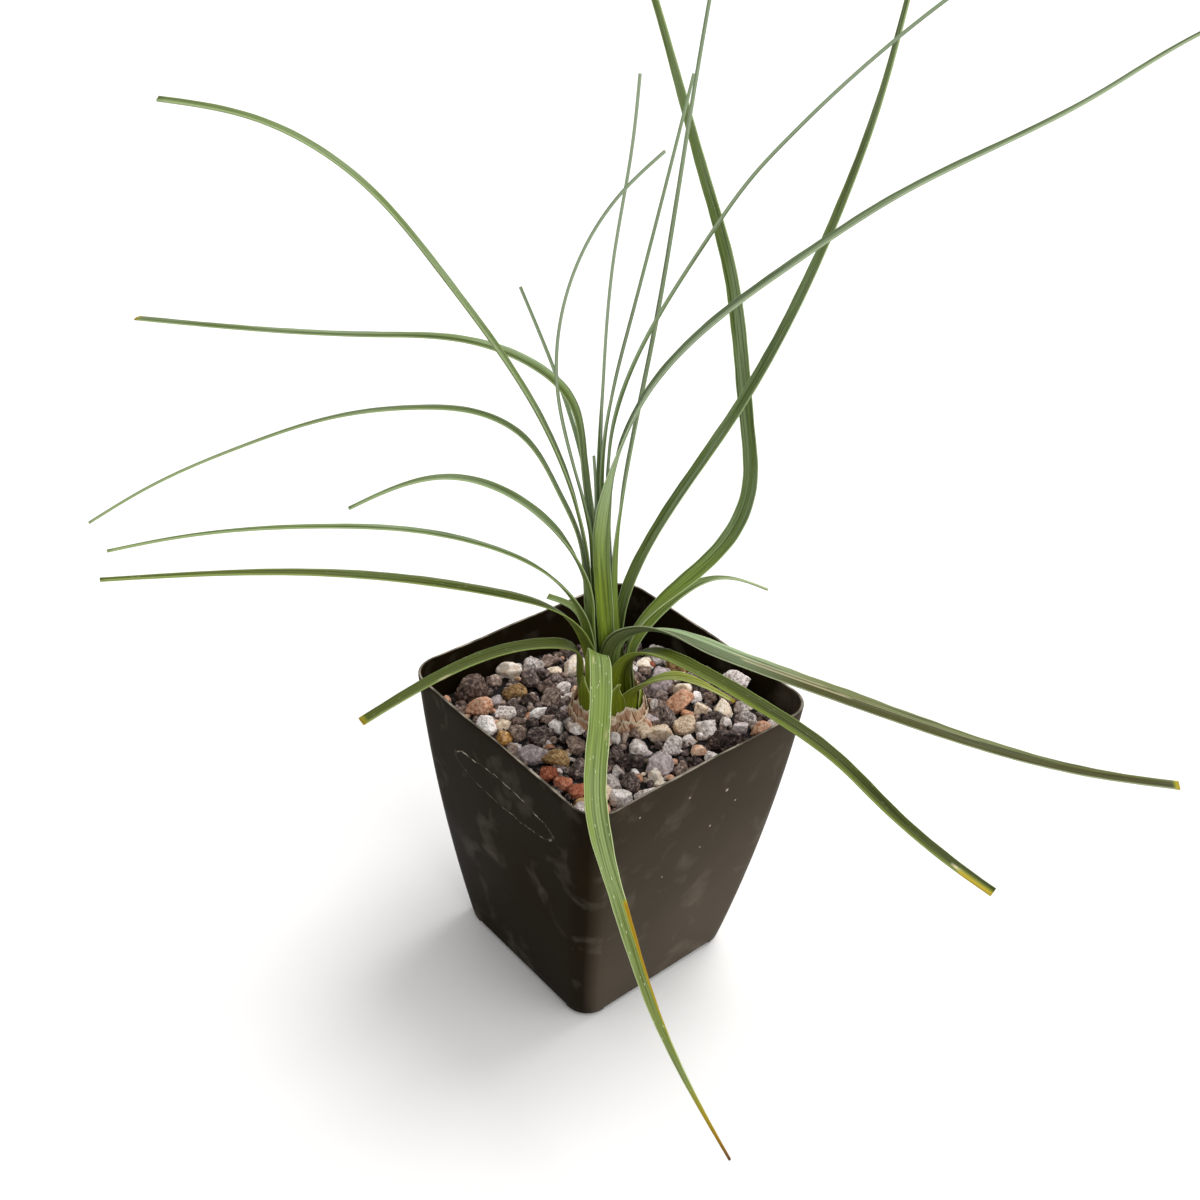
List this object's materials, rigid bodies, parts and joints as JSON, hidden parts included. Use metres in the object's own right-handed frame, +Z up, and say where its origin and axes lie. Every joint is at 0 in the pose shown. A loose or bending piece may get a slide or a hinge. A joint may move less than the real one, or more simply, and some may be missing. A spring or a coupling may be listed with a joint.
{
  "type": "potted calibanus",
  "caption": "Potted calibanus seedling: a swollen papery base with long arching grass-like leaves, standing in gritty gravel in a small square nursery pot.",
  "frame": {"origin": "on the ground under the middle of the pot, in the face of the pot's middle pad", "axes": "+Z up through the middle of the pot; X and Y square to the pot's four walls"},
  "size_m": [0.2187, 0.2322, 0.2881],
  "materials": {
    "pot_plastic": "thin olive-black thermoformed plastic, lightly scuffed, satin",
    "gravel": "loose mixed grit: dark lava, white pumice, tan and brick-red stones, rough and dry",
    "papery_sheath": "dry papery bark in tan and orange with brown streaks, torn at its upper edge",
    "leaf_green": "living leaf blades, ribbed lengthwise, satin, with pale margins"
  },
  "bodies": {
    "root": {"pot": "pot_plastic", "potting_mix": "gravel", "caudex": "papery_sheath", "leaf_left_topmost": "leaf_green", "leaf_left_high": "leaf_green", "leaf_left_arched": "leaf_green", "leaf_left_short": "leaf_green", "leaf_left_middle": "leaf_green", "leaf_left_low": "leaf_green", "leaf_left_front": "leaf_green", "leaf_left_stub": "leaf_green", "leaf_thin_left": "leaf_green", "leaf_thin_bowed": "leaf_green", "leaf_right_low": "leaf_green", "leaf_right_lowest": "leaf_green", "leaf_right_broad": "leaf_green", "leaf_right_stub": "leaf_green", "leaf_right_curled": "leaf_green", "leaf_right_high": "leaf_green", "leaf_centre_broad": "leaf_green", "leaf_thin_right": "leaf_green", "leaf_upright_broad": "leaf_green", "leaf_thin_leaning": "leaf_green", "leaf_thin_upright": "leaf_green", "leaf_young": "leaf_green", "leaf_front": "leaf_green"}
  },
  "joints": []
}
